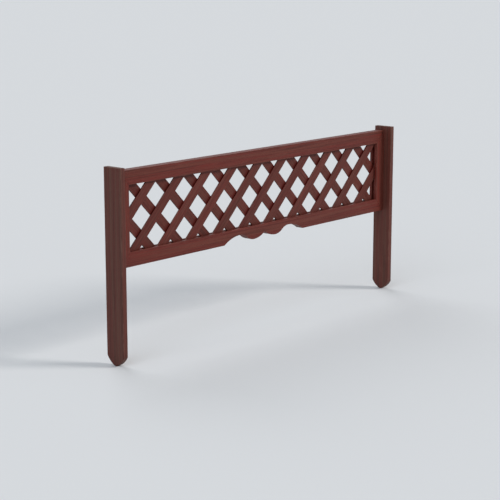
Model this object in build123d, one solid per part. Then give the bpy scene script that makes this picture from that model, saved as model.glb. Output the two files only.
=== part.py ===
from build123d import *
import math
import os

# A low garden fence panel in stained wood. A mitred frame, grooved along its inner edges, holds a
# lattice of crossed slats, and stands between two board posts with pointed feet.
# Sizes are in millimetres. +X runs along the fence, +Y to the back and +Z up. The origin is on the
# left post's outer face, at mid-depth and at ground level.

# Frame of two rails and two stiles
FRAME_LENGTH = 1586  # over the stiles' outer edges
FRAME_HEIGHT = 348  # over the rails' outer edges
MEMBER_WIDTH = 53  # rail or stile, seen from the front
MEMBER_THICKNESS = 35  # rail or stile, front to back
GROUND_GAP = 60  # from the ground to the bottom rail
FRAME_SETBACK = 10  # frame's mid-plane behind the posts' mid-depth

# Groove in the inner edge of each rail and stile
GROOVE_DEPTH = 12
FACE_PLAY = 0.5  # beside each face of the lattice
EDGE_PLAY = 1  # beyond the lattice's upper and side edges; its lower edge rests in the bottom rail

# Lattice of two layers of slats
SLAT_WIDTH = 38
SLAT_THICKNESS = 6
DIAMONDS_LONG = 10  # diamonds along the frame's opening
CROSSING_OVERRUN = 27  # outer rows of crossings beyond the opening's edges, on average
CROSSING_DROP = 3  # middle row of crossings below the opening's middle

# Scalloped lower edge of the bottom rail: offsets from its middle, rises from its straight edge
SCALLOP_REACH = 238  # outer end of each arch
CROWN_OFFSET = 146  # top of each arch
CROWN_RISE = 28
LOBE_OFFSET = 65  # lowest point of each lobe
CUSP_RISE = 22  # where the two lobes meet

# Posts
POST_THICKNESS = 21  # along the fence
POST_DEPTH = 84  # front to back
POST_PROUD = 16  # post's top above the frame
POST_BURIED = 254  # straight part below ground
POINT_HEIGHT = 36
POINT_BULGE = 5  # swell of each side of the point past a straight cut
POINT_BLUNT = 4  # flat at the tip

opening_length = FRAME_LENGTH - 2 * MEMBER_WIDTH
opening_height = FRAME_HEIGHT - 2 * MEMBER_WIDTH
panel_length = opening_length + 2 * (GROOVE_DEPTH - EDGE_PLAY)
panel_height = opening_height + 2 * GROOVE_DEPTH - EDGE_PLAY
groove_width = 2 * (SLAT_THICKNESS + FACE_PLAY)
diamond_length = opening_length / DIAMONDS_LONG
diamond_height = opening_height / 2 + CROSSING_OVERRUN
middle_x = POST_THICKNESS + FRAME_LENGTH / 2
middle_z = GROUND_GAP + FRAME_HEIGHT / 2


def upright(face):
    """Turn a face drawn in X and Y so that its Y points up and its front looks to the front."""
    return Plane.XZ * face


def straight_edge(length):
    """Plain outer edge of a rail or stile, along X."""
    return [Line((-length / 2, 0), (length / 2, 0))]


def scalloped_edge(length):
    """Outer edge with two arches, and between them two lobes that meet in a cusp."""
    cusp = Vector(0, -CUSP_RISE)
    lobe = Vector(LOBE_OFFSET, 0)
    crown = Vector(CROWN_OFFSET, -CROWN_RISE)
    turn = (lobe + crown) / 2
    arch_end = Vector(SCALLOP_REACH, 0)
    half = [
        TangentArc(lobe, cusp, tangent=(-1, 0)),
        TangentArc(lobe, turn, tangent=(1, 0)),
        TangentArc(crown, turn, tangent=(-1, 0)),
        TangentArc(crown, arch_end, tangent=(1, 0)),
        Line(arch_end, (length / 2, 0)),
    ]
    return half + [mirror(edge, about=Plane.YZ) for edge in half]


def frame_member(length, outer_edge):
    """Mitred, grooved bar: outer edge along X at Z = 0, groove in the inner edge below it."""
    half = length / 2
    inner_half = half - MEMBER_WIDTH
    mitres = Polyline((-half, 0), (-inner_half, -MEMBER_WIDTH), (inner_half, -MEMBER_WIDTH), (half, 0))
    outline = make_face(outer_edge(length) + mitres.edges())
    bar = extrude(upright(outline), amount=MEMBER_THICKNESS / 2, both=True)
    groove = Pos(Z=GROOVE_DEPTH / 2 - MEMBER_WIDTH) * Box(length, groove_width, GROOVE_DEPTH)
    return bar - groove


def place_member(member, side_x, side_z):
    """Set a member on one side of the frame; side_x and side_z point from the middle to that side."""
    turn = math.degrees(math.atan2(side_x, side_z))
    x = middle_x + side_x * FRAME_LENGTH / 2
    z = middle_z + side_z * FRAME_HEIGHT / 2
    return Pos(x, FRAME_SETBACK, z) * Rot(0, turn, 0) * member


def slat_layer(side):
    """Faces of one layer's slats, trimmed to the panel; they rise to the right (side 1) or left (side -1)."""
    lean = side * math.degrees(math.atan2(diamond_height, diamond_length))
    length = 2 * math.hypot(diamond_length, diamond_height) + SLAT_WIDTH
    slat = Rot(0, 0, lean) * Rectangle(length, SLAT_WIDTH)
    panel = Pos(Y=-EDGE_PLAY / 2) * Rectangle(panel_length, panel_height)
    crossings = [count * diamond_length - opening_length / 2 for count in range(DIAMONDS_LONG + 1)]
    return Sketch() + [Pos(x, -CROSSING_DROP) * slat & panel for x in crossings]


def lattice():
    """Lattice panel: the front slats rise to the right and the back slats to the left."""
    front = extrude(upright(slat_layer(1)), amount=SLAT_THICKNESS)
    back = extrude(upright(slat_layer(-1)), amount=-SLAT_THICKNESS)
    return Pos(middle_x, FRAME_SETBACK, middle_z) * (front + back)


def post(outer_x):
    """Upright board with a square top and a point of two swelling curves, from outer_x along +X."""
    top = GROUND_GAP + FRAME_HEIGHT + POST_PROUD
    side = POST_DEPTH / 2
    shoulder = -POST_BURIED
    tip = shoulder - POINT_HEIGHT
    blunt = POINT_BLUNT / 2
    outline = make_face(
        [
            Line((side, shoulder), (side, top)),
            Line((side, top), (-side, top)),
            Line((-side, top), (-side, shoulder)),
            SagittaArc((-side, shoulder), (-blunt, tip), -POINT_BULGE),
            Line((-blunt, tip), (blunt, tip)),
            SagittaArc((blunt, tip), (side, shoulder), -POINT_BULGE),
        ]
    )
    return Pos(X=outer_x) * extrude(Plane.YZ * outline, amount=POST_THICKNESS)


nodes = {
    "left_post": post(0),
    "right_post": post(POST_THICKNESS + FRAME_LENGTH),
    "left_stile": place_member(frame_member(FRAME_HEIGHT, straight_edge), -1, 0),
    "right_stile": place_member(frame_member(FRAME_HEIGHT, straight_edge), 1, 0),
    "top_rail": place_member(frame_member(FRAME_LENGTH, straight_edge), 0, 1),
    "bottom_rail": place_member(frame_member(FRAME_LENGTH, scalloped_edge), 0, -1),
    "lattice_panel": lattice(),
}

os.makedirs("parts", exist_ok=True)
for name, solid in nodes.items():
    export_step(solid, f"parts/{name}.step")
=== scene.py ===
"""Dresses a low garden fence panel: stained boards with eased edges, a lattice of slats, and a plain studio.

Lengths are in metres. +X runs along the fence, +Y to the back and +Z up.

Every board carries four attributes that its wood reads:
    grain: the place inside the log that the board was sawn from, with the first number along the fibres
    fibre: the direction of the fibres
    arris: 1 on the eased edges and 0 elsewhere
    tint: how light the board took the stain, from 0 to 1
Slats carry one more, which their wood reads only to place the painted shade beside each lap:
    lap: the place between the slats that cross it, in whole numbers at their middles, then half their
        width in the same measure, and 1 or -1 for the side that they lie on, along Y
"""

import json
import logging
import math
import random
from collections.abc import Sequence
from dataclasses import dataclass, field
from enum import Enum

import bmesh
import bpy
import numpy as np
from bpy.types import ID, Material, Mesh, Node, NodeSocket, NodeTree, Object
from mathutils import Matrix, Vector, noise


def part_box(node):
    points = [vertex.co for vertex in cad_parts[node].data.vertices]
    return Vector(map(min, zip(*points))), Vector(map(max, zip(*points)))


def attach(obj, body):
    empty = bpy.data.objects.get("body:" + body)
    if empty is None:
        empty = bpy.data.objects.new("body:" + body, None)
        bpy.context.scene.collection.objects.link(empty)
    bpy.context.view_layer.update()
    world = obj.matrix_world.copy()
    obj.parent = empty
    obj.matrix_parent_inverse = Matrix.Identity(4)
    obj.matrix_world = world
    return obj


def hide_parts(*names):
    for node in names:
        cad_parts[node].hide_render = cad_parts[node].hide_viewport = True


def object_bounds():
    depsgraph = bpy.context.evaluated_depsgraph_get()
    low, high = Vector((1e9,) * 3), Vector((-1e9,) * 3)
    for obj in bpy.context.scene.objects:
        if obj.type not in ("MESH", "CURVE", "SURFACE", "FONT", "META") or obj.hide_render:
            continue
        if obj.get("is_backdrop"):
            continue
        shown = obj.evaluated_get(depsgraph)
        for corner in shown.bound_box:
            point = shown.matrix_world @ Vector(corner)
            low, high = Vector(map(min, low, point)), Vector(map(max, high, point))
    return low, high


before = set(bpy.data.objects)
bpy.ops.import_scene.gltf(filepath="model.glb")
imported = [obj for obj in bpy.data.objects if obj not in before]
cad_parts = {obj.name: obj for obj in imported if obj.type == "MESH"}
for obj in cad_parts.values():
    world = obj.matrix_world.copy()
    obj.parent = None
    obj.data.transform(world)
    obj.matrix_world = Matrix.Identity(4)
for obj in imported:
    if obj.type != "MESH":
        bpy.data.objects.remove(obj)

CAD_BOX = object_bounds()
BODY = "root"
SMOOTH_ANGLE = math.radians(32)
LOG_SEED = 6
TO_RIGHT = Vector((1, 0, 0))
TO_BACK = Vector((0, 1, 0))
UPWARD = Vector((0, 0, 1))

LOGGER = logging.getLogger("fence")

Colour = tuple[float, float, float, float]
Value = float | int | str | Sequence[float] | NodeSocket


def srgb(red: int, green: int, blue: int) -> Colour:
    """Turn a screen colour into the linear colour that shaders take.

    Args:
        red: Red, from 0 to 255.
        green: Green, from 0 to 255.
        blue: Blue, from 0 to 255.

    Returns:
        The linear colour, opaque.
    """
    shares = [part / 255 for part in (red, green, blue)]
    linear = [s / 12.92 if s <= 0.04045 else ((s + 0.055) / 1.055) ** 2.4 for s in shares]
    return (*linear, 1.0)


def arc_drop(run: float, reach: float, height: float) -> float:
    """Give the drop of an arc that starts level and falls by a height over its reach.

    Args:
        run: Distance from the level start.
        reach: Distance from the start to the arc's end.
        height: Drop at the end.

    Returns:
        The drop at that distance.
    """
    radius = (reach**2 + height**2) / (2 * height)
    return radius - math.sqrt(radius**2 - run**2)


def spread(stops: Sequence[float], spacing: float) -> list[float]:
    """Give even places between stops, with every stop among them.

    Args:
        stops: Places that must be kept, in order.
        spacing: Longest step between two places.

    Returns:
        All places in order.
    """
    places = [stops[0]]
    for start, end in zip(stops, stops[1:]):
        steps = max(1, math.ceil((end - start) / spacing))
        places += np.linspace(start, end, steps + 1)[1:].tolist()
    return places


def direction(heading: float, rise: float) -> Vector:
    """Give the way at an angle from +X towards +Y and an angle above the horizon, in degrees."""
    around, up = math.radians(heading), math.radians(rise)
    return Vector((math.cos(around) * math.cos(up), math.sin(around) * math.cos(up), math.sin(up)))


def add_object(name: str, data: ID) -> Object:
    """Add an object to the scene.

    Args:
        name: Its name.
        data: Its mesh, lamp or camera.

    Returns:
        The object, at the origin.
    """
    added = bpy.data.objects.new(name, data)
    bpy.context.scene.collection.objects.link(added)
    return added


class NodeGraph:
    """Adds nodes to a shader or geometry tree and links them."""

    def __init__(self, tree: NodeTree) -> None:
        """Start with an empty tree."""
        self.tree = tree
        self.tree.nodes.clear()

    def add(self, kind: str, inputs: dict[str | int, Value] | None = None, **settings: object) -> Node:
        """Add a node.

        Args:
            kind: The node's type name.
            inputs: Values for its inputs, or sockets to link them to, by name or number.
            **settings: The node's own options.

        Returns:
            The new node.
        """
        node = self.tree.nodes.new(kind)
        for name, setting in settings.items():
            setattr(node, name, setting)
        for key, value in (inputs or {}).items():
            if isinstance(value, NodeSocket):
                self.tree.links.new(value, node.inputs[key])
            else:
                node.inputs[key].default_value = value
        return node

    def number(self, operation: str, *terms: Value) -> NodeSocket:
        """Work out a number from others with a Math node."""
        return self.add("ShaderNodeMath", dict(enumerate(terms)), operation=operation).outputs[0]

    def vector(self, operation: str, *terms: Value) -> NodeSocket:
        """Work out a vector from others with a Vector Math node."""
        node = self.add("ShaderNodeVectorMath", dict(enumerate(terms)), operation=operation)
        return node.outputs["Vector"]

    def measure(self, operation: str, *terms: Value) -> NodeSocket:
        """Work out a number from vectors with a Vector Math node."""
        node = self.add("ShaderNodeVectorMath", dict(enumerate(terms)), operation=operation)
        return node.outputs["Value"]

    def scaled(self, vector: Value, factor: Value) -> NodeSocket:
        """Lengthen a vector by a factor."""
        node = self.add("ShaderNodeVectorMath", {0: vector, "Scale": factor}, operation="SCALE")
        return node.outputs["Vector"]

    def split(self, vector: Value) -> Sequence[NodeSocket]:
        """Give the three numbers of a vector."""
        return self.add("ShaderNodeSeparateXYZ", {0: vector}).outputs

    def join(self, x: Value, y: Value, z: Value) -> NodeSocket:
        """Make a vector of three numbers."""
        return self.add("ShaderNodeCombineXYZ", {0: x, 1: y, 2: z}).outputs[0]


@dataclass(frozen=True)
class Mark:
    """A kind of mark in the wood, which noise draws out along the fibres.

    Attributes:
        along: Marks in a metre of length.
        across: Marks in a metre of width.
        starts: Noise at which the mark begins to show.
        full: Noise at which it shows in full.
        strength: How much of its colour it then gives.
        relief: How high it stands, or how deep it lies where this is below 0.
        detail: Finer layers of the noise.
    """

    along: float
    across: float
    starts: float = 0.0
    full: float = 1.0
    strength: float = 1.0
    relief: float = 0.0
    detail: float = 2.0


SWAY = Mark(along=0.9, across=6.0)
BAND = Mark(along=0.9, across=80.0, starts=0.4, full=0.6)
STREAK = Mark(along=2.5, across=240.0, starts=0.45, full=0.68, strength=0.75, relief=0.6)
FIBRE = Mark(along=22.0, across=1500.0, starts=0.5, full=0.28, strength=0.3, relief=0.25)
PORE = Mark(along=80.0, across=1900.0, starts=0.63, full=0.73, strength=0.65, relief=-0.7, detail=1.0)
RUB = Mark(along=24.0, across=40.0, starts=0.42, full=0.72, strength=0.5)


class WoodGraph(NodeGraph):
    """A shader tree with the patterns that wood needs."""

    def attribute(self, name: str) -> Node:
        """Read one of the board's attributes."""
        return self.add("ShaderNodeAttribute", attribute_name=name, attribute_type="GEOMETRY")

    def noise(self, place: Value, mark: Mark) -> Node:
        """Add a mark's noise at a place in the log."""
        drawn = self.vector("MULTIPLY", place, (mark.along, mark.across, mark.across))
        return self.add("ShaderNodeTexNoise", {"Vector": drawn, "Scale": 1.0, "Detail": mark.detail})

    def shown(self, level: Value, mark: Mark) -> NodeSocket:
        """Give how much of its colour a mark gives at a level of its noise."""
        return self.ease(level, mark.starts, mark.full, 0.0, mark.strength)

    def ease(
        self, value: Value, low: float, high: float, first: float = 0.0, last: float = 1.0
    ) -> NodeSocket:
        """Ease from one number to another as a value goes from low to high.

        Args:
            value: The value.
            low: Where the change starts.
            high: Where the change ends.
            first: Result at low.
            last: Result at high.

        Returns:
            The eased number.
        """
        ends = {"Value": value, "From Min": low, "From Max": high, "To Min": first, "To Max": last}
        return self.add("ShaderNodeMapRange", ends, interpolation_type="SMOOTHSTEP").outputs[0]

    def blend(self, factor: Value, first: Value, second: Value) -> NodeSocket:
        """Mix two colours."""
        return self.add("ShaderNodeMix", {0: factor, 6: first, 7: second}, data_type="RGBA").outputs[2]


@dataclass(frozen=True)
class Pool:
    """Painted shade at each lap: a painted shadow on the crossed slat, painted corner shade on the ledge.

    Attributes:
        colour: Colour of the painted shade.
        depth: How much of it there is at the lap itself.
        reach: How far up the crossed slat it comes, as a share of the crossing slats' spacing.
        ledge: How far along the ledge of the crossing slat it comes, in the same measure.
    """

    colour: Colour
    depth: float = 0.9
    reach: float = 0.2
    ledge: float = 0.05

    FACING = (0.5, 0.9)  # how far a face looks towards the crossing slats, for none of the painted shadow and all of it
    UPTURNED = (0.4, 0.6)  # how far a ledge looks up, in the same way

    def share(self, graph: WoodGraph) -> NodeSocket:
        """Give how much painted shade lies at each place of a slat.

        Args:
            graph: The wood's tree.

        Returns:
            A number from 0 to the painted shade's depth, on the crossed slat and on the ledge of the crossing
            one.
        """
        crossing, half_width, side = graph.split(graph.attribute("lap").outputs["Vector"])
        from_middle = graph.number("SUBTRACT", crossing, graph.number("ROUND", crossing))
        _, towards, upward = graph.split(graph.add("ShaderNodeNewGeometry").outputs["Normal"])

        # Painted shadow: darkens the crossed slat on one side of each lap only, fading out over the reach.
        above = graph.number("MULTIPLY", from_middle, side)
        run = graph.ease(graph.number("SUBTRACT", above, half_width), 0.0, self.reach, self.depth, 0.0)
        run = graph.number("MULTIPLY", run, graph.number("GREATER_THAN", above, 0.0))
        facing = graph.ease(graph.number("MULTIPLY", towards, side), *self.FACING)
        run = graph.number("MULTIPLY", run, facing)

        # Painted corner shade: darkens the upturned ledge of the crossing slat beside the lap.
        beside = graph.number("SUBTRACT", graph.number("ABSOLUTE", from_middle), half_width)
        ledge = graph.ease(beside, 0.0, self.ledge, self.depth, 0.0)
        ledge = graph.number("MULTIPLY", ledge, graph.ease(upward, *self.UPTURNED))
        return graph.number("MAXIMUM", run, ledge)


@dataclass(frozen=True)
class Stain:
    """A stained wood: its colours, and how its log grew.

    Attributes:
        slot: The record's material slot.
        spring: Colour between the growth rings.
        summer: Colour of the ring lines.
        flush: Redder colour of the bands where the stain is strong.
        ring_pitch: Width of a growth ring.
        pith: Where the log's middle lies from a board's middle, across and through it.
        pore: Colour of the short dark pores.
        worn: Colour on rubbed edges and pale fibres.
        cut: Colour of end grain.
        roughness: Roughness of the finish.
        gloss: How much the finish shines.
        pool: Painted shade beside the laps, as a painted shadow and painted corner shade, if the wood has
            laps.
    """

    slot: str
    spring: Colour
    summer: Colour
    flush: Colour
    ring_pitch: float
    pith: tuple[float, float]
    pore: Colour = srgb(50, 22, 19)
    worn: Colour = srgb(134, 83, 70)
    cut: Colour = srgb(106, 78, 69)
    roughness: float = 0.48
    gloss: float = 0.2
    pool: Pool | None = None

    SWAY_REACH = 0.03  # width that the fibres wander over
    RING_DARKENS = (0.2, 0.86)  # part of a year's growth in which the wood turns dark
    RING_ENDS = (0.88, 1.0)  # part in which it turns pale again
    RING_STRENGTH = 0.7
    RING_RELIEF = 0.5
    FAINTEST_RING = 0.3
    SAWN_TURN = (0.25, 0.8)  # how square to the fibres a face is, for side grain and for end grain
    SAWN_ROUGHNESS = 0.18
    STREAK_RANGE = (0.3, 0.7)  # noise of the streaks over which the roughness changes
    ROUGHNESS_SPREAD = (-0.05, 0.07)
    RELIEF_STRENGTH = 0.4
    RELIEF_HEIGHT = 0.0005
    TINT_RANGE = (0.93, 1.07)

    def material(self) -> Material:
        """Make a wood of growth rings, bands, fibres and pores, greyer where it is sawn across.

        Returns:
            The material.
        """
        wood = bpy.data.materials.new(self.slot)
        wood.use_nodes = True
        graph = WoodGraph(wood.node_tree)
        grain = graph.attribute("grain").outputs["Vector"]
        sawn = self.sawn_across(graph)

        wander = graph.vector("SUBTRACT", graph.noise(grain, SWAY).outputs["Color"], (0.5, 0.5, 0.5))
        sway = graph.vector("MULTIPLY", wander, (0.0, self.SWAY_REACH, self.SWAY_REACH))
        place = graph.vector("ADD", grain, sway)
        ring = self.growth_ring(graph, place)
        band, streak, fibre, pore = (
            graph.noise(place, mark).outputs["Fac"] for mark in (BAND, STREAK, FIBRE, PORE)
        )
        pore = graph.ease(pore, PORE.starts, PORE.full)

        colour = graph.blend(graph.shown(band, BAND), self.spring, self.flush)
        colour = graph.blend(sawn, colour, self.cut)
        colour = graph.blend(graph.number("MULTIPLY", ring, self.RING_STRENGTH), colour, self.summer)
        colour = graph.blend(graph.shown(streak, STREAK), colour, self.summer)
        colour = graph.blend(graph.shown(fibre, FIBRE), colour, self.worn)
        colour = graph.blend(graph.number("MULTIPLY", pore, PORE.strength), colour, self.pore)
        colour = graph.blend(self.rubbed_edge(graph, grain), colour, self.worn)
        # Painted shade beside the laps: a painted shadow and painted corner shade mixed into the colour.
        if self.pool:
            colour = graph.blend(self.pool.share(graph), colour, self.pool.colour)
        tint = graph.attribute("tint").outputs["Fac"]
        shade = {"Color": colour, "Value": graph.ease(tint, 0.0, 1.0, *self.TINT_RANGE)}

        height = graph.number("MULTIPLY", streak, STREAK.relief)
        for level, relief in ((ring, self.RING_RELIEF), (fibre, FIBRE.relief), (pore, PORE.relief)):
            height = graph.number("MULTIPLY_ADD", level, relief, height)
        raised = {"Strength": self.RELIEF_STRENGTH, "Distance": self.RELIEF_HEIGHT, "Height": height}
        smooth, coarse = (self.roughness + change for change in self.ROUGHNESS_SPREAD)
        rough = graph.ease(streak, *self.STREAK_RANGE, smooth, coarse)
        surface = graph.add(
            "ShaderNodeBsdfPrincipled",
            {
                "Base Color": graph.add("ShaderNodeHueSaturation", shade).outputs[0],
                "Roughness": graph.number("MULTIPLY_ADD", sawn, self.SAWN_ROUGHNESS, rough),
                "Specular IOR Level": self.gloss,
                "Normal": graph.add("ShaderNodeBump", raised).outputs[0],
            },
        )
        graph.add("ShaderNodeOutputMaterial", {"Surface": surface.outputs[0]})
        return wood

    def growth_ring(self, graph: WoodGraph, place: NodeSocket) -> NodeSocket:
        """Give how dark the growth ring is at a place in the log.

        Args:
            graph: The wood's tree.
            place: Place in the log.

        Returns:
            A number from 0 in spring wood to 1 in the ring line, weaker in some years.
        """
        from_pith = graph.vector("ADD", place, (0.0, *self.pith))
        across = graph.vector("MULTIPLY", from_pith, (0.0, 1.0 / self.ring_pitch, 1.0 / self.ring_pitch))
        years = graph.measure("LENGTH", across)
        season = graph.number("FRACT", years)
        darkens = graph.ease(season, *self.RING_DARKENS)
        line = graph.number("SUBTRACT", darkens, graph.ease(season, *self.RING_ENDS))
        year = graph.number("FLOOR", years)
        luck = graph.add("ShaderNodeTexWhiteNoise", {"W": year}, noise_dimensions="1D").outputs["Value"]
        faintest = self.FAINTEST_RING
        return graph.number("MULTIPLY", line, graph.number("MULTIPLY_ADD", luck, 1.0 - faintest, faintest))

    def sawn_across(self, graph: WoodGraph) -> NodeSocket:
        """Give how far a face is cut across the fibres.

        Args:
            graph: The wood's tree.

        Returns:
            A number from 0 along the fibres to 1 square across them.
        """
        normal = graph.add("ShaderNodeNewGeometry").outputs["Normal"]
        fibre = graph.attribute("fibre").outputs["Vector"]
        turn = graph.number("ABSOLUTE", graph.measure("DOT_PRODUCT", normal, fibre))
        return graph.ease(turn, *self.SAWN_TURN)

    def rubbed_edge(self, graph: WoodGraph, grain: NodeSocket) -> NodeSocket:
        """Give how far the stain is rubbed off an edge, in uneven stretches."""
        stretch = graph.shown(graph.noise(grain, RUB).outputs["Fac"], RUB)
        return graph.number("MULTIPLY", graph.attribute("arris").outputs["Fac"], stretch)


class Finish(Enum):
    """The stained woods of the fence."""

    POST = Stain(
        slot="post_wood",
        spring=srgb(103, 65, 54),
        summer=srgb(71, 39, 33),
        flush=srgb(103, 52, 44),
        ring_pitch=0.0052,
        pith=(0.07, 0.035),
        pore=srgb(46, 27, 24),
        worn=srgb(124, 88, 76),
    )
    FRAME = Stain(
        slot="frame_wood",
        spring=srgb(110, 53, 42),
        summer=srgb(76, 30, 24),
        flush=srgb(113, 41, 33),
        ring_pitch=0.0046,
        pith=(0.06, 0.03),
    )
    LATTICE = Stain(
        slot="lattice_wood",
        spring=srgb(101, 50, 41),
        summer=srgb(72, 30, 24),
        flush=srgb(102, 41, 33),
        ring_pitch=0.0038,
        pith=(0.05, 0.03),
        cut=srgb(106, 76, 67),
        roughness=0.5,
        # Colour of the painted shade beside the laps: a painted shadow and painted corner shade, deep
        # red-brown.
        pool=Pool(srgb(80, 13, 6)),
    )


@dataclass(frozen=True)
class Corner:
    """A square corner of a board's section.

    Attributes:
        u: Place across the board.
        v: Place through the board.
        radius: Rounding of the edge there, or 0 for a sharp one.
    """

    u: float
    v: float
    radius: float


@dataclass(frozen=True)
class Section:
    """A board's section, with a rounding of its own at each square corner.

    Attributes:
        corners: The corners in order, with the wood on the left.
        fade: Width of the rubbed strip beside each rounded edge.
        turns: Faces round a rounded edge.
    """

    corners: tuple[Corner, ...]
    fade: float
    turns: int = 4

    LEAST_ROUNDING = 0.1  # share of a rounding that is always kept

    def heading(self, index: int) -> np.ndarray:
        """Give the direction of the side that leaves a corner.

        Args:
            index: The corner's number.

        Returns:
            The direction, across and through.
        """
        start = self.corners[index]
        end = self.corners[(index + 1) % len(self.corners)]
        step = np.array((end.u - start.u, end.v - start.v))
        return step / np.linalg.norm(step)

    def moved(self, index: int, inset: float, wear: float) -> tuple[np.ndarray, float]:
        """Give a corner's place and rounding after all sides move into the wood.

        Args:
            index: The corner's number.
            inset: How far the sides move.
            wear: Factor on the rounding.

        Returns:
            The corner's place and its radius.
        """
        corner = self.corners[index]
        sides = self.heading(index - 1) + self.heading(index)
        place = np.array((corner.u, corner.v)) + inset * np.array((-sides[1], sides[0]))
        return place, max(corner.radius * wear - inset, corner.radius * self.LEAST_ROUNDING)

    def outline(self, inset: float = 0.0, wear: float = 1.0) -> np.ndarray:
        """Give the points of the section.

        Args:
            inset: How far all sides move into the wood.
            wear: Factor on the roundings.

        Returns:
            One row for each point: across, through, and 1 on a rounded edge or else 0.
        """
        spots = [self.moved(index, inset, wear) for index in range(len(self.corners))]
        rows: list[tuple[float, float, float]] = []
        for index, (place, radius) in enumerate(spots):
            into, out = self.heading(index - 1), self.heading(index)
            following, next_radius = spots[(index + 1) % len(spots)]
            middle = place + radius * (out - into)
            for angle in np.linspace(0, math.pi / 2, self.turns + 1 if radius else 1):
                arm = into * math.sin(angle) - out * math.cos(angle)
                rows.append((*(middle + radius * arm), float(radius > 0)))
            rows.append((*(place + out * (radius + self.fade)), 0.0))
            rows.append((*(following - out * (next_radius + self.fade)), 0.0))
        return np.array(rows)

    @classmethod
    def oblong(cls, width: float, thickness: float, radius: float, fade: float) -> "Section":
        """Make a plain section about its middle.

        Args:
            width: Size across.
            thickness: Size through.
            radius: Rounding of the four edges.
            fade: Width of the rubbed strip beside each edge.

        Returns:
            The section.
        """
        u, v = width / 2, thickness / 2
        corners = tuple(Corner(a * u, b * v, radius) for a, b in ((-1, -1), (1, -1), (1, 1), (-1, 1)))
        return cls(corners, fade)


@dataclass(frozen=True)
class Axes:
    """Where a board lies: an origin, and directions along, across and through it."""

    origin: Vector
    along: Vector
    across: Vector
    through: Vector

    def place(self, local: np.ndarray) -> np.ndarray:
        """Turn rows of along, across and through into places of the shared frame."""
        return np.array(self.origin) + local @ np.array((self.along, self.across, self.through))


@dataclass
class Loft:
    """A mesh through rings of points, all with as many points, closed at both ends.

    Attributes:
        rings: For each ring, one row for each point: along, across, through, and the mark of a rounded edge.
    """

    rings: list[np.ndarray] = field(default_factory=list)

    def add(self, along: float | np.ndarray, outline: np.ndarray) -> None:
        """Add a ring: a section's outline at a place along the board, or at one for each point."""
        stations = np.broadcast_to(along, len(outline))
        self.rings.append(np.column_stack((stations, outline)))

    def mesh(self, name: str, axes: Axes | None = None) -> Mesh:
        """Join the rings.

        Args:
            name: Name of the mesh.
            axes: Where the board lies, or nothing to leave it in its own directions.

        Returns:
            The mesh, with the arris attribute.
        """
        size = len(self.rings[0])
        rows = np.concatenate(self.rings)
        places = axes.place(rows[:, :3]) if axes else rows[:, :3]
        faces = [tuple(range(size))[::-1], tuple(range(len(rows) - size, len(rows)))]
        for start in range(0, len(rows) - size, size):
            for index in range(size):
                after = (index + 1) % size
                faces.append((start + index, start + after, start + size + after, start + size + index))
        mesh = bpy.data.meshes.new(name)
        mesh.from_pydata(places.tolist(), [], faces)
        mesh.attributes.new("arris", "FLOAT", "POINT").data.foreach_set("value", rows[:, 3])
        return mesh


def close_up(mesh: Mesh) -> None:
    """Turn all faces outwards and shade a mesh smooth, with its sharp edges kept.

    Args:
        mesh: The mesh, which is changed.
    """
    work = bmesh.new()
    work.from_mesh(mesh)
    if work.calc_volume(signed=True) < 0:
        bmesh.ops.reverse_faces(work, faces=work.faces)
    work.to_mesh(mesh)
    work.free()
    mesh.shade_smooth()
    mesh.set_sharp_from_angle(angle=SMOOTH_ANGLE)
    mesh.update()


@dataclass
class Board:
    """A solid board of one of the stained woods.

    Attributes:
        name: Name of the piece.
        node: The solid that it stands for.
        axes: Where it lies.
        stain: Its wood.
        log: Random source for the log that it is sawn from.
    """

    name: str
    node: str
    axes: Axes
    stain: Stain
    log: random.Random

    LOG_REACH = (3.0, 0.02, 0.02)  # along, across and through the board
    WEAR_ALONG = 14.0  # changes of the wear in a metre of length
    WEAR_APART = 5.0  # changes in a metre between boards
    WEAR_RANGE = 0.3

    def build(self, loft: Loft, wood: Material) -> Object:
        """Make the board from its loft, and hand it over.

        Args:
            loft: The board's rings.
            wood: Its material.

        Returns:
            The finished piece.
        """
        mesh = loft.mesh(self.name, self.axes)
        local = np.concatenate(loft.rings)[:, :3]
        sawn_at = np.array([self.log.uniform(-reach, reach) for reach in self.LOG_REACH])
        vectors = {"grain": local + sawn_at, "fibre": np.tile(self.axes.along, (len(local), 1))}
        for name, rows in vectors.items():
            attribute = mesh.attributes.new(name, "FLOAT_VECTOR", "POINT")
            attribute.data.foreach_set("vector", rows.astype(np.float32).ravel())
        tint = np.full(len(local), self.log.random())
        mesh.attributes.new("tint", "FLOAT", "POINT").data.foreach_set("value", tint)
        mesh.materials.append(wood)
        close_up(mesh)
        piece = add_object(self.name, mesh)
        hand_over(piece, self.node, self.stain)
        return piece

    def wear(self, along: float) -> float:
        """Give how much more or less than usual the edges are eased.

        Args:
            along: Place along the board.

        Returns:
            A factor on the roundings.
        """
        start = self.axes.origin
        spot = (along * self.WEAR_ALONG, start.x * self.WEAR_APART, start.z * self.WEAR_APART)
        return 1.0 + self.WEAR_RANGE * noise.noise(Vector(spot))


def hand_over(piece: Object, node: str, stain: Stain) -> None:
    """Let a finished piece ride with the fence and stand for its solid.

    Args:
        piece: The finished piece.
        node: The solid that it stands for.
        stain: Its wood; not used.
    """
    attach(piece, BODY)
    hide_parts(node)


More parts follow.
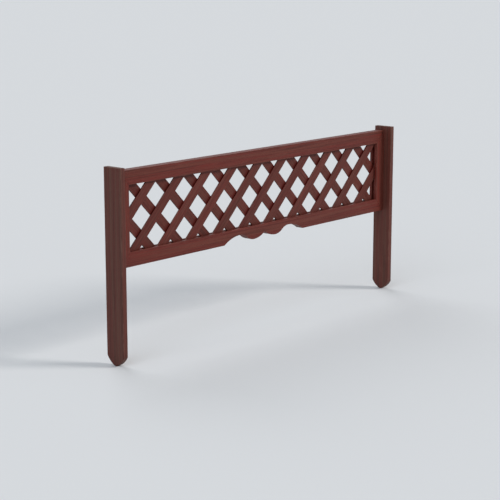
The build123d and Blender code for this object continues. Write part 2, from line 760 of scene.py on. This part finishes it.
@dataclass(frozen=True)
class Post:
    """A board post with a square top and a point of two swelling curves.

    Attributes:
        node: The post's solid.
        easing: Rounding of its edges.
        point_height: Height of the point.
        point_bulge: Swell of each side of the point past a straight cut.
        point_blunt: Flat at the tip.
        spacing: Longest face along the post.
    """

    node: str
    easing: float = 0.0015
    point_height: float = 0.036
    point_bulge: float = 0.005
    point_blunt: float = 0.004
    spacing: float = 0.02

    RIM_STEPS = 4
    POINT_STEPS = 14
    MOST_EASING = 0.2  # share of the depth

    def build(self, wood: Material, log: random.Random) -> Object:
        """Make the post.

        Args:
            wood: Its material.
            log: Random source for the log.

        Returns:
            The finished piece.
        """
        low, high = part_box(self.node)
        middle = (low + high) / 2
        depth, thickness = high.y - low.y, high.x - low.x
        axes = Axes(Vector((middle.x, middle.y, 0)), UPWARD, TO_BACK, TO_RIGHT)
        board = Board(f"{self.node}_board", self.node, axes, Finish.POST.value, log)
        loft = Loft()
        for half, z in self.point(depth / 2, low.z):
            loft.add(z, self.section(2 * half, thickness).outline(wear=board.wear(z)))
        shoulder, rim = low.z + self.point_height, high.z - self.easing
        for z in spread((shoulder, rim), self.spacing):
            loft.add(z, self.section(depth, thickness).outline(wear=board.wear(z)))
        for angle in np.linspace(0, math.pi / 2, self.RIM_STEPS + 1)[1:]:
            inset = self.easing * (1 - math.cos(angle))
            z = rim + self.easing * math.sin(angle)
            loft.add(z, self.section(depth, thickness).outline(inset, board.wear(z)))
        return board.build(loft, wood)

    def section(self, depth: float, thickness: float) -> Section:
        """Give the post's section, with finer edges where the point is narrow."""
        easing = min(self.easing, self.MOST_EASING * depth)
        return Section.oblong(depth, thickness, easing, fade=easing)

    def point(self, half_depth: float, tip: float) -> list[tuple[float, float]]:
        """Give half the depth of the point, and its height, from the tip up to the shoulder.

        Args:
            half_depth: Half the post's depth.
            tip: Height of the tip.

        Returns:
            Pairs of half depth and height, without the shoulder itself.
        """
        blunt = self.point_blunt / 2
        run = half_depth - blunt
        chord = math.hypot(run, self.point_height)
        pairs = []
        for share in np.linspace(0, 1, self.POINT_STEPS + 1)[:-1]:
            from_middle = abs(share - 0.5) * chord
            swell = self.point_bulge - arc_drop(from_middle, chord / 2, self.point_bulge)
            out = blunt + share * run + swell * self.point_height / chord
            up = tip + share * self.point_height - swell * run / chord
            pairs.append((out, up))
        return pairs


@dataclass(frozen=True)
class Scallop:
    """The shaped lower edge: two arches, and between them two lobes that meet in a cusp.

    Attributes:
        reach: Outer end of each arch from the middle.
        crown_offset: Top of each arch from the middle.
        crown_rise: Height of the arches.
        lobe_offset: Lowest point of each lobe from the middle.
        cusp_rise: Height of the cusp.
    """

    reach: float = 0.238
    crown_offset: float = 0.146
    crown_rise: float = 0.028
    lobe_offset: float = 0.065
    cusp_rise: float = 0.022

    @property
    def turn_offset(self) -> float:
        """Where a lobe's curve turns into the arch's."""
        return (self.lobe_offset + self.crown_offset) / 2

    @property
    def stops(self) -> list[float]:
        """Places from the middle where one arc ends and the next begins."""
        right = [self.lobe_offset, self.turn_offset, self.crown_offset, self.reach]
        return [-stop for stop in reversed(right)] + [0.0] + right

    def rise(self, offset: float) -> float:
        """Give the height of the edge.

        Args:
            offset: Distance from the middle.

        Returns:
            The height there above the straight edge.
        """
        offset = abs(offset)
        turn_run = self.turn_offset - self.lobe_offset
        if offset <= self.lobe_offset:
            return arc_drop(self.lobe_offset - offset, self.lobe_offset, self.cusp_rise)
        if offset <= self.turn_offset:
            return arc_drop(offset - self.lobe_offset, turn_run, self.crown_rise / 2)
        if offset <= self.crown_offset:
            return self.crown_rise - arc_drop(self.crown_offset - offset, turn_run, self.crown_rise / 2)
        if offset <= self.reach:
            arch_run = self.reach - self.crown_offset
            return self.crown_rise - arc_drop(offset - self.crown_offset, arch_run, self.crown_rise)
        return 0.0


class Side(Enum):
    """The frame's members: the solid's name, the way along it and the way in from its outer edge."""

    LEFT = ("left_stile", UPWARD, TO_RIGHT)
    RIGHT = ("right_stile", UPWARD, -TO_RIGHT)
    TOP = ("top_rail", TO_RIGHT, -UPWARD)
    BOTTOM = ("bottom_rail", TO_RIGHT, UPWARD)

    @property
    def node(self) -> str:
        """The member's solid."""
        return self.value[0]


@dataclass(frozen=True)
class FrameMember:
    """A mitred rail or stile with a groove in its inner edge.

    Attributes:
        side: Which member it is.
        scallop: The shape of its outer edge, if it isn't straight.
        groove_depth: Depth of the groove.
        groove_width: Width of the groove.
        easing: Rounding of the outer edges.
        lip_easing: Rounding of the inner edges.
        joint_easing: Size of the fine bevel along a mitre.
        spacing: Longest face along a straight edge.
        fine_spacing: Longest face along a shaped edge.
    """

    side: Side
    scallop: Scallop | None = None
    groove_depth: float = 0.012
    groove_width: float = 0.013
    easing: float = 0.0015
    lip_easing: float = 0.001
    joint_easing: float = 0.0008
    spacing: float = 0.03
    fine_spacing: float = 0.003

    def build(self, wood: Material, log: random.Random) -> Object:
        """Make the member.

        Args:
            wood: Its material.
            log: Random source for the log.

        Returns:
            The finished piece.
        """
        node, along, inward = self.side.value
        low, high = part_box(node)
        size = high - low
        width = abs(size.dot(inward))
        length = size.dot(along)
        outer = high if sum(inward) < 0 else low
        start = Vector((low.x, (low.y + high.y) / 2, low.z))
        start += inward * inward.dot(outer - start)
        board = Board(f"{node}_bar", node, Axes(start, along, inward, TO_BACK), Finish.FRAME.value, log)
        section = self.section(width, size.y)

        mitre = self.mitre_rings(section)
        loft = Loft()
        for places, outline in mitre:
            loft.add(places, outline)
        for place in self.stations(width, length):
            outline = section.outline(wear=board.wear(place))
            if self.scallop:
                near_edge = outline[:, 0] < width / 2
                outline[near_edge, 0] += self.scallop.rise(place - length / 2)
            loft.add(place, outline)
        for places, outline in reversed(mitre):
            loft.add(length - places, outline)
        return board.build(loft, wood)

    def section(self, width: float, thickness: float) -> Section:
        """Give the member's section, with the groove in its inner edge.

        Args:
            width: Size from the outer edge to the inner one.
            thickness: Size from front to back.

        Returns:
            The section, measured across from the outer edge and through from mid-thickness.
        """
        half, groove = thickness / 2, self.groove_width / 2
        front = (
            Corner(0.0, -half, self.easing),
            Corner(width, -half, self.lip_easing),
            Corner(width, -groove, self.lip_easing / 2),
            Corner(width - self.groove_depth, -groove, 0.0),
        )
        back = tuple(Corner(corner.u, -corner.v, corner.radius) for corner in reversed(front))
        return Section(front + back, fade=self.easing)

    def mitre_rings(self, section: Section) -> list[tuple[np.ndarray, np.ndarray]]:
        """Give the rings of the first mitre, from its sawn face inwards.

        Args:
            section: The member's section.

        Returns:
            For each ring, the places along the member and the outline.
        """
        face = section.outline(self.joint_easing)
        edge = section.outline()
        return [(face[:, 0], face), (edge[:, 0] + self.joint_easing, edge)]

    def stations(self, width: float, length: float) -> list[float]:
        """Give the places of the square rings between the mitres.

        Args:
            width: Size from the outer edge to the inner one.
            length: Length of the outer edge.

        Returns:
            Places along the member.
        """
        first, last = width + self.easing, length - width - self.easing
        if self.scallop is None:
            return spread((first, last), self.spacing)
        shaped = spread([length / 2 + stop for stop in self.scallop.stops], self.fine_spacing)
        before = spread((first, shaped[0]), self.spacing)[:-1]
        after = spread((shaped[-1], last), self.spacing)[1:]
        return before + shaped + after


class SlatGraph(NodeGraph):
    """A geometry tree that lays one layer of slats side by side and trims them to the panel.

    The slat that it repeats runs from 0 to 1 along X, with its width along Y and its thickness along Z.
    """

    INPUTS = {
        "Geometry": "NodeSocketGeometry",
        "Slats": "NodeSocketInt",
        "First Crossing": "NodeSocketVector",
        "Pitch": "NodeSocketFloat",
        "Slat Width": "NodeSocketFloat",
        "Lean": "NodeSocketVector",
        "Lap Side": "NodeSocketFloat",
        "Panel Low": "NodeSocketVector",
        "Panel High": "NodeSocketVector",
        "Log Reach": "NodeSocketVector",
        "Seed": "NodeSocketInt",
        "Wood": "NodeSocketMaterial",
    }

    def __init__(self, name: str) -> None:
        """Make the tree with its named inputs, and its nodes.

        Args:
            name: Name of the tree.
        """
        super().__init__(bpy.data.node_groups.new(name, "GeometryNodeTree"))
        self.tree.interface.new_socket("Geometry", in_out="OUTPUT", socket_type="NodeSocketGeometry")
        self.identifiers = {
            label: self.tree.interface.new_socket(label, in_out="INPUT", socket_type=kind).identifier
            for label, kind in self.INPUTS.items()
        }
        self.given = self.add("NodeGroupInput").outputs
        slats = self.trim(self.lay())
        dressed = self.add("GeometryNodeSetMaterial", {"Geometry": slats, "Material": self.given["Wood"]})
        self.add("NodeGroupOutput", {"Geometry": dressed.outputs[0]})

    def store(
        self, geometry: Value, name: str, value: Value, domain: str, kind: str = "FLOAT_VECTOR"
    ) -> NodeSocket:
        """Store an attribute.

        Args:
            geometry: What it is stored on.
            name: Name of the attribute.
            value: Its value.
            domain: What carries it, such as POINT.
            kind: Type of the value.

        Returns:
            The geometry with the attribute.
        """
        inputs = {"Geometry": geometry, "Name": name, "Value": value}
        return self.add("GeometryNodeStoreNamedAttribute", inputs, data_type=kind, domain=domain).outputs[0]

    def read(self, name: str) -> NodeSocket:
        """Read a stored vector."""
        node = self.add("GeometryNodeInputNamedAttribute", {"Name": name}, data_type="FLOAT_VECTOR")
        return node.outputs["Attribute"]

    def lay(self) -> NodeSocket:
        """Repeat the slat at every crossing, each from its own stretch of log.

        Returns:
            The slats, all in one mesh.
        """
        position = self.add("GeometryNodeInputPosition").outputs[0]
        slat = self.store(self.given["Geometry"], "slat_place", position, "POINT")
        step = self.join(self.given["Pitch"], 0.0, 0.0)
        row = {"Count": self.given["Slats"], "Start Location": self.given["First Crossing"], "Offset": step}
        crossings = self.add("GeometryNodeMeshLine", row).outputs[0]
        slats = self.add("GeometryNodeInstanceOnPoints", {"Points": crossings, "Instance": slat}).outputs[0]
        slats = self.store(slats, "slat_centre", position, "INSTANCE")
        reach = self.given["Log Reach"]
        ends = {0: self.scaled(reach, -1.0), 1: reach, "Seed": self.given["Seed"]}
        sawn_at = self.add("FunctionNodeRandomValue", ends, data_type="FLOAT_VECTOR").outputs[0]
        slats = self.store(slats, "slat_log", sawn_at, "INSTANCE")
        tint_seed = self.number("ADD", self.given["Seed"], 1.0)
        tint = self.add("FunctionNodeRandomValue", {"Seed": tint_seed}, data_type="FLOAT").outputs[1]
        slats = self.store(slats, "tint", tint, "INSTANCE", "FLOAT")
        return self.add("GeometryNodeRealizeInstances", {"Geometry": slats}).outputs[0]

    def trim(self, slats: NodeSocket) -> NodeSocket:
        """Lean the slats, stretch each line of them from rim to rim of the panel, and mark their grain.

        Args:
            slats: The slats, all in one mesh.

        Returns:
            The slats in place, with the grain, fibre and lap attributes.
        """
        share, across, through = self.split(self.read("slat_place"))
        lean = self.given["Lean"]
        lean_x, _, lean_z = self.split(lean)
        sideways = self.join(self.number("MULTIPLY", lean_z, -1.0), 0.0, lean_x)
        line = self.vector("ADD", self.read("slat_centre"), self.scaled(sideways, across))
        (low_x, _, low_z), (high_x, _, high_z) = (
            self.split(self.vector("DIVIDE", self.vector("SUBTRACT", self.given[rim], line), lean))
            for rim in ("Panel Low", "Panel High")
        )
        start = self.number("MAXIMUM", self.number("MINIMUM", low_x, high_x), low_z)
        end = self.number("MINIMUM", self.number("MAXIMUM", low_x, high_x), high_z)
        along = self.number("MULTIPLY_ADD", share, self.number("SUBTRACT", end, start), start)
        place = self.vector("ADD", line, self.scaled(lean, along))
        place = self.vector("ADD", place, self.join(0.0, through, 0.0))
        slats = self.add("GeometryNodeSetPosition", {"Geometry": slats, "Position": place}).outputs[0]
        grain = self.vector("ADD", self.join(along, across, through), self.read("slat_log"))
        slats = self.store(slats, "grain", grain, "POINT")
        slats = self.store(slats, "fibre", lean, "POINT")
        slats = self.store(slats, "lap", self.lap(place), "POINT")
        spent = {"Geometry": slats, "Name": "slat_*"}
        return self.add("GeometryNodeRemoveAttribute", spent, pattern_mode="WILDCARD").outputs[0]

    def lap(self, place: NodeSocket) -> NodeSocket:
        """Measure a place against the slats of the other layer.

        Args:
            place: The place on a slat.

        Returns:
            The place between the crossing slats, half their width and the side that they lie on.
        """
        lean_x, _, lean_z = self.split(self.given["Lean"])
        x, _, z = self.split(self.vector("SUBTRACT", place, self.given["First Crossing"]))
        spacing = self.number("MULTIPLY", self.given["Pitch"], lean_z)
        across = self.number("MULTIPLY_ADD", x, lean_z, self.number("MULTIPLY", z, lean_x))
        half_width = self.number("MULTIPLY", self.given["Slat Width"], 0.5)
        return self.join(
            self.number("DIVIDE", across, spacing),
            self.number("DIVIDE", half_width, spacing),
            self.given["Lap Side"],
        )


class Layer(Enum):
    """The lattice's layers, with the way that their slats lean: 1 to the right, -1 to the left."""

    FRONT = 1
    BACK = -1


@dataclass(frozen=True)
class Lattice:
    """The lattice: two layers of slats, seated in the frame's groove.

    Attributes:
        node: The lattice's solid.
        slat_width: Width of a slat.
        slat_thickness: Thickness of a slat.
        easing: Rounding of a slat's edges.
        diamonds_long: Diamonds along the frame's opening.
        crossing_overrun: Outer rows of crossings beyond the opening's edges, on average.
        crossing_drop: Middle row of crossings below the opening's middle.
        slat_faces: Faces along a slat.
        seed: Seed of the slats' logs.
    """

    node: str = "lattice_panel"
    slat_width: float = 0.038
    slat_thickness: float = 0.006
    easing: float = 0.0008
    diamonds_long: int = 10
    crossing_overrun: float = 0.027
    crossing_drop: float = 0.003
    slat_faces: int = 10
    seed: int = 7

    def build(self, layer: Layer, wood: Material) -> Object:
        """Make one layer.

        Args:
            layer: Which layer.
            wood: Its material.

        Returns:
            The finished piece.
        """
        name = f"lattice_{layer.name.lower()}_slats"
        piece = add_object(name, self.slat(name))
        graph = SlatGraph(name)
        modifier = piece.modifiers.new(name, "NODES")
        modifier.node_group = graph.tree
        for label, value in {**self.sizes(layer), "Wood": wood}.items():
            modifier[graph.identifiers[label]] = value
        depsgraph = bpy.context.evaluated_depsgraph_get()
        mesh = bpy.data.meshes.new_from_object(
            piece.evaluated_get(depsgraph), preserve_all_data_layers=True, depsgraph=depsgraph
        )
        piece.modifiers.remove(modifier)
        piece.data = mesh
        close_up(mesh)
        hand_over(piece, self.node, Finish.LATTICE.value)
        return piece

    def slat(self, name: str) -> Mesh:
        """Make the slat that a layer repeats, from 0 to 1 along X.

        Args:
            name: Name of the mesh.

        Returns:
            The mesh.
        """
        section = Section.oblong(self.slat_width, self.slat_thickness, self.easing, fade=self.easing)
        loft = Loft()
        for share in np.linspace(0, 1, self.slat_faces + 1):
            loft.add(share, section.outline())
        return loft.mesh(name)

    def sizes(self, layer: Layer) -> dict[str, int | float | tuple[float, ...]]:
        """Work out the sizes of a layer from the frame's opening.

        Args:
            layer: Which layer.

        Returns:
            The named inputs of its tree.
        """
        low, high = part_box(self.node)
        left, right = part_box(Side.LEFT.node)[1].x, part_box(Side.RIGHT.node)[0].x
        bottom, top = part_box(Side.BOTTOM.node)[1].z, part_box(Side.TOP.node)[0].z
        pitch = (right - left) / self.diamonds_long
        lean = Vector((layer.value * pitch, 0, (top - bottom) / 2 + self.crossing_overrun)).normalized()
        depth = (low.y + high.y - layer.value * self.slat_thickness) / 2
        return {
            "Slats": self.diamonds_long + 1,
            "First Crossing": (left, depth, (top + bottom) / 2 - self.crossing_drop),
            "Pitch": pitch,
            "Slat Width": self.slat_width,
            "Lean": tuple(lean),
            "Lap Side": float(layer.value),
            "Panel Low": tuple(low),
            "Panel High": tuple(high),
            "Log Reach": Board.LOG_REACH,
            "Seed": self.seed + layer.value,
        }


@dataclass(frozen=True)
class SoftSun:
    """A far lamp with a soft edge to its shadows.

    Attributes:
        name: Name of the lamp.
        azimuth: Where it stands round the fence, in degrees: 0 in front, 90 to the right.
        elevation: Its height above the horizon, in degrees.
        strength: Its light.
        softness: Its width as seen from the fence, in degrees.
        colour: Its colour.
    """

    name: str
    azimuth: float
    elevation: float
    strength: float
    softness: float
    colour: tuple[float, float, float]

    def build(self) -> None:
        """Add the lamp."""
        lamp = bpy.data.lights.new(self.name, "SUN")
        lamp.energy = self.strength
        lamp.angle = math.radians(self.softness)
        lamp.color = self.colour
        towards = direction(self.azimuth - 90.0, self.elevation)
        add_object(self.name, lamp).rotation_euler = towards.to_track_quat("Z", "Y").to_euler()


@dataclass(frozen=True)
class Studio:
    """A plain pale floor under soft light, and the camera.

    Attributes:
        floor_colour: Colour of the floor.
        floor_radius: Reach of the floor.
        backdrop: Colour seen beyond the floor.
        sky: Colour of the light from all round.
        sky_strength: Strength of that light.
        lamps: The lamps.
        camera_place: Where the camera stands.
        camera_heading: The way it looks, in degrees from +X towards +Y.
        camera_tilt: How far it looks down, in degrees.
        lens: Its lens, in millimetres.
        sensor: Its sensor, in millimetres.
    """

    floor_colour: Colour = srgb(227, 230, 233)
    floor_radius: float = 60.0
    backdrop: Colour = srgb(213, 217, 221)
    sky: Colour = (0.93, 0.96, 1.0, 1.0)
    sky_strength: float = 0.33
    lamps: tuple[SoftSun, ...] = (
        SoftSun("key_lamp", 36.0, 32.0, strength=1.56, softness=18.0, colour=(1.0, 0.95, 0.9)),
        SoftSun("fill_lamp", -75.0, 35.0, strength=0.78, softness=45.0, colour=(0.85, 0.93, 1.0)),
        SoftSun("back_lamp", 160.0, 42.0, strength=0.85, softness=40.0, colour=(1.0, 1.0, 1.0)),
    )
    camera_place: tuple[float, float, float] = (-3.403, -3.567, 1.147)
    camera_heading: float = 40.78
    camera_tilt: float = 11.68
    lens: float = 103.0
    sensor: float = 36.0

    FLOOR_SIDES = 96

    def build(self) -> None:
        """Add the floor, the light and the camera."""
        bpy.context.scene.view_settings.view_transform = "Standard"
        self.lay_floor()
        self.light_sky()
        for lamp in self.lamps:
            lamp.build()
        self.set_camera()

    def lay_floor(self) -> None:
        """Lay a round floor under the posts' points."""
        work = bmesh.new()
        bmesh.ops.create_circle(work, cap_ends=True, segments=self.FLOOR_SIDES, radius=self.floor_radius)
        bmesh.ops.translate(work, verts=work.verts, vec=(0.0, 0.0, CAD_BOX[0].z))
        mesh = bpy.data.meshes.new("studio_floor")
        work.to_mesh(mesh)
        work.free()
        paint = bpy.data.materials.new("floor_paint")
        paint.use_nodes = True
        graph = NodeGraph(paint.node_tree)
        matt = graph.add("ShaderNodeBsdfDiffuse", {"Color": self.floor_colour})
        graph.add("ShaderNodeOutputMaterial", {"Surface": matt.outputs[0]})
        mesh.materials.append(paint)
        floor = add_object("studio_floor", mesh)
        floor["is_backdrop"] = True

    def light_sky(self) -> None:
        """Light the fence evenly from all round, with the pale backdrop shown to the camera and in gloss."""
        world = bpy.data.worlds.new("studio_sky")
        world.use_nodes = True
        bpy.context.scene.world = world
        graph = NodeGraph(world.node_tree)
        light = graph.add("ShaderNodeBackground", {"Color": self.sky, "Strength": self.sky_strength})
        shown = graph.add("ShaderNodeBackground", {"Color": self.backdrop, "Strength": 1.0})
        ray = graph.add("ShaderNodeLightPath").outputs
        seen = graph.number("MAXIMUM", ray["Is Camera Ray"], ray["Is Glossy Ray"])
        seen = graph.number("MAXIMUM", seen, ray["Is Transmission Ray"])
        mixed = graph.add("ShaderNodeMixShader", {0: seen, 1: light.outputs[0], 2: shown.outputs[0]})
        graph.add("ShaderNodeOutputWorld", {"Surface": mixed.outputs[0]})

    def set_camera(self) -> None:
        """Set up the camera at the chosen viewing angle."""
        camera = bpy.data.cameras.new("studio_camera")
        camera.lens = self.lens
        camera.sensor_width = self.sensor
        holder = add_object("studio_camera", camera)
        holder.location = self.camera_place
        look = direction(self.camera_heading, -self.camera_tilt)
        holder.rotation_euler = look.to_track_quat("-Z", "Y").to_euler()
        bpy.context.scene.camera = holder


def write_sizes() -> None:
    """Turn the box of the solids and that of the finished pieces into JSON text, which is then dropped."""
    boxes = {"cad": CAD_BOX, "visual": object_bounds()}
    json.dumps({name: [list(corner) for corner in box] for name, box in boxes.items()})


def main() -> None:
    """Build the fence and the studio, and report each piece."""
    logging.basicConfig(level=logging.INFO, format="%(name)s: %(message)s")
    woods = {finish: finish.value.material() for finish in Finish}
    log = random.Random(LOG_SEED)
    pieces = [Post(node).build(woods[Finish.POST], log) for node in ("left_post", "right_post")]
    for side in Side:
        scallop = Scallop() if side is Side.BOTTOM else None
        pieces.append(FrameMember(side, scallop).build(woods[Finish.FRAME], log))
    pieces += [Lattice().build(layer, woods[Finish.LATTICE]) for layer in Layer]
    for piece in pieces:
        LOGGER.info("%s: %d faces", piece.name, len(piece.data.polygons))
    Studio().build()
    write_sizes()


if __name__ == "__main__":
    main()
